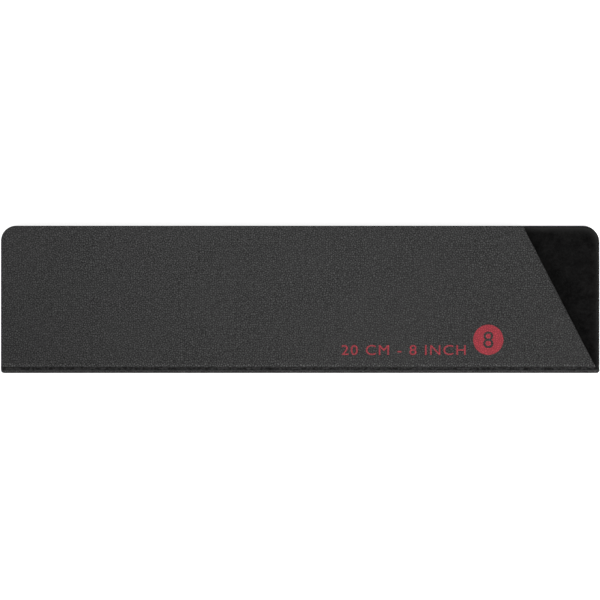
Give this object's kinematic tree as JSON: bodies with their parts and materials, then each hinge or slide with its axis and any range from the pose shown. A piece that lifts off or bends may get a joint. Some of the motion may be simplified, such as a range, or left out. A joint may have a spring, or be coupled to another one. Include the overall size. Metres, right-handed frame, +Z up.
{
  "type": "knife blade guard",
  "caption": "Flat folding guard for a chef's knife blade: grained plastic cover hinged along its long fold, diagonal entry cut, flocked magnetic lining inside each panel.",
  "frame": {"origin": "middle of the closed guard's back face, on the surface it lies on", "axes": "+X along the guard to the end where the knife goes in, +Y from the fold to the open edge, +Z up from the back panel to the front panel"},
  "size_m": [0.218, 0.0538, 0.005],
  "materials": {
    "cover_plastic": "matte",
    "flock": "matte",
    "magnet_rubber": "matte",
    "adhesive": "satin",
    "print_ink": "satin"
  },
  "bodies": {
    "back": {"back_panel": "cover_plastic", "back_hinge_web": "cover_plastic", "back_adhesive_film": "adhesive", "back_magnet_sheet": "magnet_rubber", "back_flock_lining": "flock"},
    "fold": {"fold_strip": "cover_plastic"},
    "front": {"front_panel": "cover_plastic", "front_hinge_web": "cover_plastic", "front_adhesive_film": "adhesive", "front_magnet_sheet": "magnet_rubber", "front_flock_lining": "flock"}
  },
  "joints": [
    {"name": "fold_hinge", "type": "hinge", "parent": "back", "child": "fold", "pos_m": [0, -0.02525, 0.00065], "axis": [1, 0, 0], "range_deg": [0, 90], "deforming": ["back_hinge_web"]},
    {"name": "front_hinge", "type": "hinge", "parent": "fold", "child": "front", "pos_m": [0, -0.02525, 0.00435], "axis": [1, 0, 0], "range_deg": [0, 90], "deforming": ["front_hinge_web"]}
  ]
}
